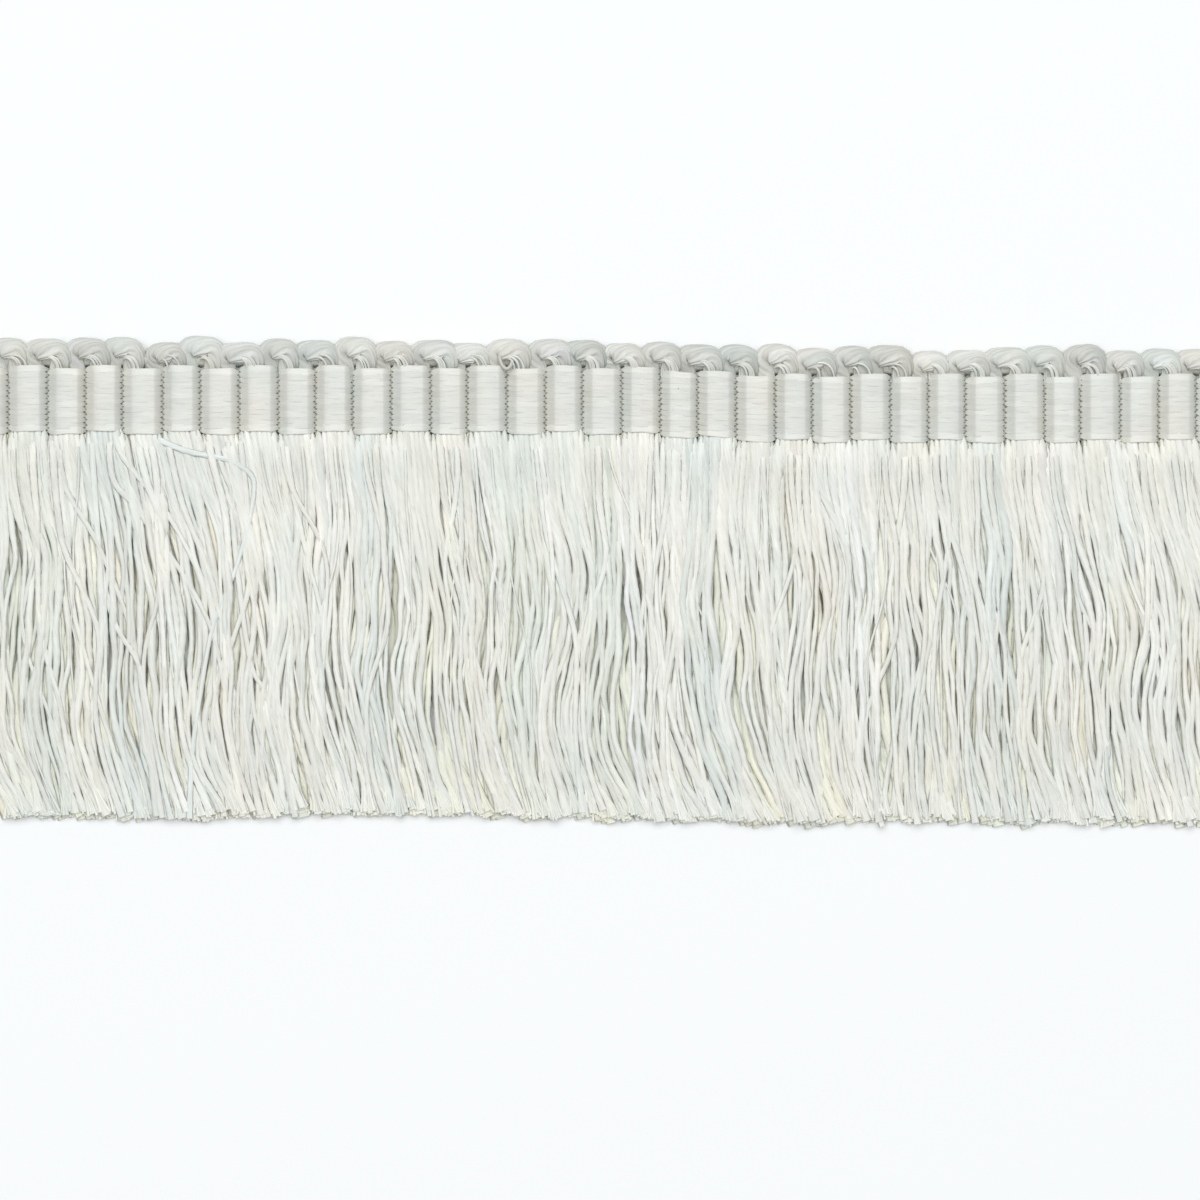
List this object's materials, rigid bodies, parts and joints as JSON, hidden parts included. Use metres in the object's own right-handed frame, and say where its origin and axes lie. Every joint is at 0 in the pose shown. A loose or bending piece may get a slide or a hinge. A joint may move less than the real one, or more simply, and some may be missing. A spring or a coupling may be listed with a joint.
{
  "type": "brush fringe trim",
  "caption": "Cut length of off-white brush fringe trim, lying flat: a ribbed woven heading with a looped upper edge and a dense straight-cut yarn fringe below.",
  "frame": {"origin": "on the back of the heading, at the middle of the middle rib, where the trim is sewn on", "axes": "+X along the trim, +Y up the heading to its looped edge (the fringe hangs towards -Y), +Z out of the face towards the viewer"},
  "size_m": [0.1731, 0.0653, 0.0029],
  "materials": {
    "heading_warp": "fine warp threads over ribs, slight sheen",
    "edge_yarn": "soft twisted yarn bundles, slight sheen",
    "fringe_yarn": "soft loosely spun yarn, slight sheen"
  },
  "bodies": {
    "root": {"heading": "heading_warp", "looped_edge": "edge_yarn", "fringe": "fringe_yarn"}
  },
  "joints": []
}
